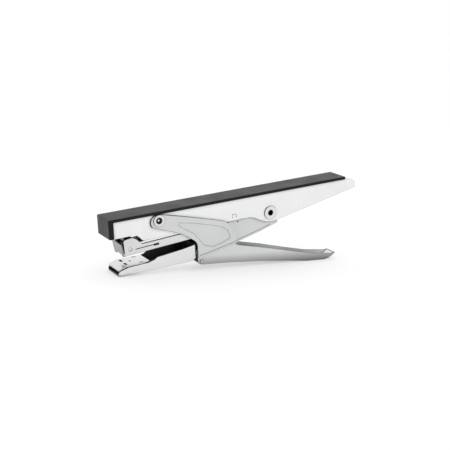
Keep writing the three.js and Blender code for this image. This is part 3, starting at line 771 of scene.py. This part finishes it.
def rivet(name, node, centre, shank, head, inner, bore, core):
    piece = cross_rod(name, centre, shank, -inner, inner)
    piece.data.materials.append(RIVET_PLATING)
    piece.data.materials.append(BORE_SHADE)
    for side in (-1, 1):
        low, high = sorted((side * (inner - 0.02), side * (inner + RING_HEIGHT)))
        ring = cross_rod("ring", centre, head, low, high)
        cut_with(piece, ring, "UNION")
    bpy.ops.object.mode_set(mode="EDIT")
    reach = inner + RING_HEIGHT
    lip = bore + 0.45
    step_ends([(head - 0.35, reach + 0.12), (lip, reach + 0.18), (bore, reach + 0.02)], head, reach)
    reach = reach + 0.02
    if core:
        step_ends([(bore - 0.05, reach - 0.9), (core, reach - 0.9)], bore, reach)
        step_ends([(core - 0.05, reach - 0.1), (core - 0.35, reach)], core, reach - 0.9)
    else:
        step_ends([(bore - 0.05, reach - 3.5)], bore, reach)
    deep = reach - 0.12
    choose(
        "FACE",
        lambda middle, face: inner - 4 < abs(middle.y) < deep
        and core - 0.2 < (Vector((middle.x, 0, middle.z)) - centre).length < bore - 0.01,
    )
    piece.active_material_index = 1
    bpy.ops.object.material_slot_assign()
    soften(piece, 0.06)
    stand_up(piece)
    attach(piece, "frame")
    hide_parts(node)


rivet("front_tube_rivet", "front_rivet", FRONT_RIVET, 2.0, 3.7, 9.45, 2.2, 0.7)
rivet("rear_tube_rivet", "rear_rivet", REAR_PIVOT, 2.6, 4.6, 8.5, 2.0, 0)

# ---------------------------------------------------------------------------------------------
# Magazine: a plated sheet trough, drawn along its own floor from its nose and hung at a slight
# angle. Its nose stands up in front, and two ears run back between the side plates to the pivot.
MAGAZINE_FRONT = Vector((10.8, 0, -26.2))
MAGAZINE_TILT = radians(3.2)
MAGAZINE_HALF_WIDTH = 7.1
MAGAZINE_SHEET = 0.55
MAGAZINE_NECK = 72
EAR_HALF_WIDTH = 6.25
EAR_RADIUS = 3.9
WEB_END = 90.5
MOUTH = 1.5
WINDOW_LEFT = 20.4
WINDOW_RIGHT = 24.2
WINDOW_BOTTOM = 2.3
WINDOW_TOP = 3.6
LINE_LEFT = 7.6
LINE_RIGHT = 20.2
LINE_BOTTOM = 2.95
LINE_TOP = 3.4
NOSE_DIMPLE = Vector((4.1, 0, 4.0))
MAGAZINE_RIM = [
    (0, 9.9),
    (0.9, 10.8),
    (5.4, 11.2),
    (6.6, 11.0),
    (8.9, 9.6),
    (11.9, 6.1),
    (13.4, 5.5),
    (21.5, 5.4),
    (MAGAZINE_NECK, 5.2),
    (MAGAZINE_NECK + 3, 5.2),
    (92, 5.3),
    (100, 6.6),
]
MAGAZINE_PIVOT = Matrix.Rotation(MAGAZINE_TILT, 3, "Y") @ (REAR_PIVOT - MAGAZINE_FRONT)
MAGAZINE_PLATING = plated_steel("magazine_plating", (0.60, 0.605, 0.61), (0.76, 0.76, 0.765), 0.2, 0.32)


def round_end(line, pivot, radius, side, first=-0.35):
    """Continues a line round the upper or lower half of an ear's end."""
    ends = []
    for step in range(1, 7):
        turn = first + (1 - first) * step / 6
        rise = radius * sqrt(1.002 - turn * turn)
        ends.append((pivot[0] + radius * turn * 0.999, pivot[2] + side * rise))
    return line + ends


def magazine_place(piece):
    """Moves a piece drawn along the magazine's floor to its place on the tool."""
    piece.data.transform(Matrix.Translation(MAGAZINE_FRONT) @ Matrix.Rotation(-MAGAZINE_TILT, 4, "Y"))
    stand_up(piece)


def magazine():
    rim = round_end(MAGAZINE_RIM, MAGAZINE_PIVOT, EAR_RADIUS, 1)
    floor_line = [(0, 0), (MOUTH, 0), (WEB_END, 0), (104, 0.1)]
    web = round_end(floor_line, MAGAZINE_PIVOT, EAR_RADIUS, -1, -0.6)
    piece = folded_channel("magazine_trough", MAGAZINE_HALF_WIDTH, web, rim, False, True, True)
    piece.data.materials.append(MAGAZINE_PLATING)
    piece.data.materials.append(INSIDE_SHADE)
    piece.data.materials.append(CUT_EDGE_SHADE)
    choose("FACE", lambda middle, face: abs(face.normal.y) < 0.5 and not MOUTH < middle.x < WEB_END)
    bpy.ops.mesh.delete(type="FACE")
    choose("VERT", lambda middle, corner: middle.x > MAGAZINE_NECK + 0.1)
    narrow = EAR_HALF_WIDTH / MAGAZINE_HALF_WIDTH
    bpy.ops.transform.resize(value=(1, narrow, 1), center_override=(0, 0, 0))
    fold_sheet(piece, MAGAZINE_SHEET, 0.6)
    cut_with(piece, cross_rod("hole", MAGAZINE_PIVOT, PIVOT_HOLE, -12, 12))
    for side in (-1, 1):
        low, high = sorted((side * 6.72, side * 9))
        corner = (WINDOW_LEFT, low, WINDOW_BOTTOM)
        window = new_block("window", corner, (WINDOW_RIGHT, high, WINDOW_TOP))
        window.data.materials.append(BORE_SHADE)
        choose("EDGE", lambda middle, edge: runs_along(edge, 1))
        bpy.ops.mesh.bevel(offset=0.25, segments=3)
        cut_with(piece, window)
        skin = side * MAGAZINE_HALF_WIDTH
        dimple = cross_rod("dimple", NOSE_DIMPLE, 1.2, skin - 0.3, skin + 0.3, 32)
        dimple.data.materials.append(FRAME_PLATING)
        cut_with(piece, dimple)
        corner = (LINE_LEFT, skin - 0.25, LINE_BOTTOM)
        line = new_block("line", corner, (LINE_RIGHT, skin + 0.25, LINE_TOP))
        line.data.materials.append(BORE_SHADE)
        cut_with(piece, line)
    soften(piece, 0.1)
    magazine_place(piece)
    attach(piece, "magazine")
    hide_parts("magazine_sheath")


magazine()

# ---------------------------------------------------------------------------------------------
# Magazine front plate: a small hardened plate across the trough's open nose, in front of the
# driver. The notch in its lower edge is where each staple leaves.
NOTCH_HALF_WIDTH = 4.4
NOTCH_TOP = 1.1
FRONT_PLATE_LEAN = 1.0
FRONT_PLATE_PLATING = plated_steel(
    "front_plate_plating", (0.27, 0.275, 0.28), (0.41, 0.415, 0.42), 0.3, 0.42
)


def front_plate():
    piece = new_block("nose_plate", (-1.1, -MAGAZINE_HALF_WIDTH, 0), (-0.3, MAGAZINE_HALF_WIDTH, 8.6))
    choose("VERT", lambda middle, corner: middle.z > 8)
    bpy.ops.transform.translate(value=(-FRONT_PLATE_LEAN, 0, 0))
    notch = new_block("notch", (-3, -NOTCH_HALF_WIDTH, -1), (1, NOTCH_HALF_WIDTH, NOTCH_TOP))
    choose("EDGE", lambda middle, edge: runs_along(edge, 0))
    bpy.ops.mesh.bevel(offset=0.5, segments=3)
    piece.data.materials.append(FRONT_PLATE_PLATING)
    cut_with(piece, notch)
    soften(piece, 0.12)
    magazine_place(piece)
    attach(piece, "magazine")
    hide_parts("magazine_front_plate")


front_plate()

# ---------------------------------------------------------------------------------------------
# Staple guide: a thin bright channel lying in the trough, whose edges stand a little above it
# and keep the strip of staples straight.
GUIDE_FRONT = 8.5
GUIDE_BACK = 69.5
GUIDE_FLOOR = 0.9
GUIDE_HALF_WIDTH = 6.2
GUIDE_SHEET = 0.5
GUIDE_RIM = [(GUIDE_FRONT, 4.8), (8.8, 6.1), (9.4, 6.7), (10.3, 7.0), (67, 7.0), (GUIDE_BACK, 5.6)]
GUIDE_PLATING = plated_steel(
    "guide_plating", (0.84, 0.845, 0.85), (0.93, 0.93, 0.935), 0.18, 0.3, crease_shade=0.15
)


def staple_guide():
    web = [(GUIDE_FRONT, GUIDE_FLOOR), (GUIDE_BACK, GUIDE_FLOOR)]
    piece = folded_channel("staple_channel", GUIDE_HALF_WIDTH, web, GUIDE_RIM, False, True, True)
    piece.data.materials.append(GUIDE_PLATING)
    piece.data.materials.append(INSIDE_SHADE)
    piece.data.materials.append(GUIDE_PLATING)
    fold_sheet(piece, GUIDE_SHEET, 0.4)
    soften(piece, 0.1)
    magazine_place(piece)
    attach(piece, "magazine")
    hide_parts("staple_guide")


staple_guide()

# ---------------------------------------------------------------------------------------------
# Lower jaw: a deep trough of bright plated sheet, open at its nose, with a closed back. A
# narrower tail is folded from the same sheet and runs back to the rear rivet.
ARM_HALF_WIDTH = 8.25
ARM_SHEET = 0.75
ARM_WEB = [(5, -37.9), (5.3, -38.3), (6, -38.5), (55.8, -38.5), (58.6, -37.9), (60.4, -36.6)]
ARM_RIM = [
    (5, -36.6),
    (5.3, -35.9),
    (6.2, -34.9),
    (9, -34.1),
    (12.2, -33.3),
    (26, -32.9),
    (30.4, -31.9),
    (31.4, -31.2),
    (32.9, -30.5),
    (51, -28.8),
    (60.4, -27.3),
]
TAIL_HALF_WIDTH = 5.25
TAIL_SHEET = 0.7
TAIL_WEB = [(59.8, -31.5), (66, -30.6), (82.8, -27.7), (100, -25.2), (104, -23.9), (112, -21.4)]
TAIL_RIM = [(59.8, -27.5), (84, -24.6), (100, -22.9), (112, -18.4), (115, -14.6)]
ARM_PLATING = plated_steel("arm_plating", (0.67, 0.675, 0.68), (0.81, 0.81, 0.815), 0.16, 0.28)


def anvil_arm():
    piece = folded_channel("lower_jaw", ARM_HALF_WIDTH, ARM_WEB, ARM_RIM, False, True, False)
    piece.data.materials.append(ARM_PLATING)
    piece.data.materials.append(INSIDE_SHADE)
    piece.data.materials.append(CUT_EDGE_SHADE)
    fold_sheet(piece, ARM_SHEET, 0.6)
    rim = round_end(TAIL_RIM, REAR_PIVOT, EAR_RADIUS, 1, -0.7)
    web = round_end(TAIL_WEB, REAR_PIVOT, EAR_RADIUS, -1, -0.6)
    tail = folded_channel("tail", TAIL_HALF_WIDTH, web, rim, False, False, True)
    tail.data.materials.append(ARM_PLATING)
    tail.data.materials.append(INSIDE_SHADE)
    tail.data.materials.append(CUT_EDGE_SHADE)
    choose("FACE", lambda middle, face: abs(face.normal.y) < 0.5 and middle.x > 104)
    bpy.ops.mesh.delete(type="FACE")
    fold_sheet(tail, TAIL_SHEET, 0.5)
    cut_with(piece, tail, "UNION")
    cut_with(piece, cross_rod("hole", REAR_PIVOT, PIVOT_HOLE, -12, 12))
    soften(piece, 0.12)
    stand_up(piece)
    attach(piece, "jaw")
    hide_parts("anvil_arm")


anvil_arm()

# ---------------------------------------------------------------------------------------------
# Anvil plate: a bright plate let into the jaw's nose. Two pockets curl the staple's legs, and
# its front edge slopes down over the jaw's open end.
ANVIL_HALF_WIDTH = 7.8
ANVIL_NECK = 22
ANVIL_NECK_HALF_WIDTH = 7.2
ANVIL_TOP = -32.2
ANVIL_UNDERSIDE = -33.0
ANVIL_HOLE = Vector((16.7, 0, -32.6))


def anvil_plate():
    low = (10.9, -ANVIL_HALF_WIDTH, ANVIL_UNDERSIDE)
    piece = new_block("anvil", low, (27.6, ANVIL_HALF_WIDTH, ANVIL_TOP))
    piece.data.materials.append(ARM_PLATING)
    piece.data.materials.append(BORE_SHADE)
    choose("FACE", lambda middle, face: face.normal.x < -0.9)
    bpy.ops.mesh.extrude_region_move(TRANSFORM_OT_translate={"value": (-2.4, 0, -0.75)})
    bpy.ops.mesh.extrude_region_move(TRANSFORM_OT_translate={"value": (-3.2, 0, -1.1)})
    cut_across([ANVIL_NECK])
    choose("VERT", lambda middle, corner: middle.x > ANVIL_NECK + 0.1)
    narrow = ANVIL_NECK_HALF_WIDTH / ANVIL_HALF_WIDTH
    bpy.ops.transform.resize(value=(1, narrow, 1), center_override=(0, 0, 0))
    choose("FACE", lambda middle, face: face.normal.x > 0.9)
    bpy.ops.mesh.extrude_region_move(TRANSFORM_OT_translate={"value": (1.0, 0, -1.0)})
    bpy.ops.transform.resize(value=(1, 0.88, 1), center_override=(0, 0, 0))
    for side in (-1, 1):
        low, high = sorted((side * 6.4, side * 7.1))
        leg = new_block("leg", (14, low, -36), (21.8, high, -32.6))
        cut_with(piece, leg, "UNION")
        low, high = sorted((side * 1.7, side * 5.7))
        pocket = new_block("pocket", (11.2, low, -32.7), (12.8, high, -31))
        pocket.data.materials.append(BORE_SHADE)
        cut_with(piece, pocket)
        slot_cutter = new_block("slot", (20.6, side * 6.0 - 0.45, -34), (23.4, side * 6.0 + 0.45, -31))
        slot_cutter.data.materials.append(BORE_SHADE)
        cut_with(piece, slot_cutter)
    only(None)
    bpy.ops.mesh.primitive_cylinder_add(vertices=32, radius=0.8, depth=4, location=(0, 0, 0))
    hole = bpy.context.object
    hole.data.transform(Matrix.Translation(ANVIL_HOLE))
    hole.data.materials.append(BORE_SHADE)
    cut_with(piece, hole)
    soften(piece, 0.1)
    stand_up(piece)
    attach(piece, "jaw")
    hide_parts("anvil_plate")


anvil_plate()

# ---------------------------------------------------------------------------------------------
# Lower handle: a long trough of plated sheet that tapers to a rounded, turned-up tip. Its ears
# hang on the hinge pin between the side plates, and carry the pin that lifts the jaw's tail.
HANDLE_HALF_WIDTH = 6.3
HANDLE_TIP_HALF_WIDTH = 5.0
HANDLE_SHEET = 0.7
HANDLE_TAPER_START = 120
HANDLE_TIP = 175.2


def stand_line(x):
    """The level ground below the tool, between the jaw's nose and the handle's rear."""
    return -38.5 - tan(STAND_TILT) * (x - 6)


HANDLE_WEB = [
    (62.8, -40.6),
    (63.3, -41.6),
    (64.2, -42.4),
    (65.6, -43.0),
    (67.5, -43.3),
    (87, -45.8),
    (111.2, -49.7),
    (136.3, -54.7),
    (150, stand_line(150)),
    (166, stand_line(166)),
    (169.4, -59.5),
    (172.3, -58.4),
    (HANDLE_TIP, -56.9),
]
HANDLE_RIM = [
    (62.8, -32.4),
    (63.4, -31.2),
    (64.6, -30.3),
    (66, -30.0),
    (68, -30.5),
    (71.8, -30.6),
    (77.6, -29),
    (80.6, -27.1),
    (85, -27.1),
    (87.4, -29.4),
    (93.5, -34.6),
    (117.7, -41.5),
    (138.5, -48.1),
    (155.9, -53.3),
    (172.5, -56.5),
    (HANDLE_TIP, -56.3),
]
THRUST = Vector((82.8, 0, -30))
THRUST_HOLE = 2.3
HINGE_HOLE = 1.8
HANDLE_DIMPLE = Vector((65.6, 0, -40.7))
# The handle's plating is painted darker towards its lower edge, as painted shade.
HANDLE_PLATING = plated_steel(
    "handle_plating", (0.58, 0.585, 0.59), (0.72, 0.725, 0.73), 0.28, 0.42, low_shade=(0.2, 0.2, 0.205)
)
# A paler copy of the handle's plating for its inner faces, as painted light that lifts them out of the
# trough's shade.
HANDLE_INSIDE_LIGHTENED = plated_steel(
    "handle_inside_painted_light", (0.66, 0.665, 0.67), (0.80, 0.805, 0.81), 0.3, 0.45, crease_shade=0.35
)


def lower_handle():
    lines = (HANDLE_WEB, HANDLE_RIM)
    piece = folded_channel("handle_trough", HANDLE_HALF_WIDTH, *lines, False, True, False)
    piece.data.materials.append(HANDLE_PLATING)
    piece.data.materials.append(HANDLE_INSIDE_LIGHTENED)
    piece.data.materials.append(CUT_EDGE_SHADE)
    full = HANDLE_TIP - HANDLE_TAPER_START
    for x in sorted({x for x, height in HANDLE_WEB + HANDLE_RIM if x > HANDLE_TAPER_START}):
        reach = (x - HANDLE_TAPER_START) / full
        narrow = 1 + (HANDLE_TIP_HALF_WIDTH / HANDLE_HALF_WIDTH - 1) * reach
        choose("VERT", lambda middle, corner: near(middle.x, x))
        bpy.ops.transform.resize(value=(1, narrow, 1), center_override=(0, 0, 0))
    fold_sheet(piece, HANDLE_SHEET, 0.55)
    cut_with(piece, cross_rod("hole", HINGE, HINGE_HOLE, -12, 12))
    cut_with(piece, cross_rod("hole", THRUST, THRUST_HOLE, -12, 12))
    for side in (-1, 1):
        low, high = sorted((side * (HANDLE_HALF_WIDTH - 0.2), side * (HANDLE_HALF_WIDTH + 0.3)))
        cut_with(piece, cross_rod("dimple", HANDLE_DIMPLE, 1.3, low, high, 32), "UNION")
    soften(piece, 0.14)
    stand_up(piece)
    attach(piece, "handle")
    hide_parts("lower_handle")


lower_handle()

# ---------------------------------------------------------------------------------------------
# Hidden steelwork: driver, springs, pins, rod and staples keep their plain machined shapes.
# They are bare hardened steel or drawn wire, a little oily, with turning or drawing marks.
HARD_STEEL = plated_steel("bare_hard_steel", (0.20, 0.20, 0.205), (0.34, 0.34, 0.345), 0.3, 0.45)
WIRE_STEEL = plated_steel("drawn_wire_steel", (0.40, 0.40, 0.41), (0.58, 0.58, 0.59), 0.25, 0.4)
HARD_NODES = [
    "driver_blade",
    "driver_rivet",
    "pivot_bush",
    "handle_hinge_pin",
    "staple_pusher",
    "spring_stop",
    "thrust_pin",
    "hinge_spacer",
]
WIRE_NODES = [
    "staple_strip",
    "guide_rod",
    "pusher_spring",
    "magazine_return_spring",
    "handle_return_spring",
]
for finish, names in ((HARD_STEEL, HARD_NODES), (WIRE_STEEL, WIRE_NODES)):
    for name in names:
        mesh = frame["nodes"][name].data
        mesh.materials.clear()
        mesh.materials.append(finish)
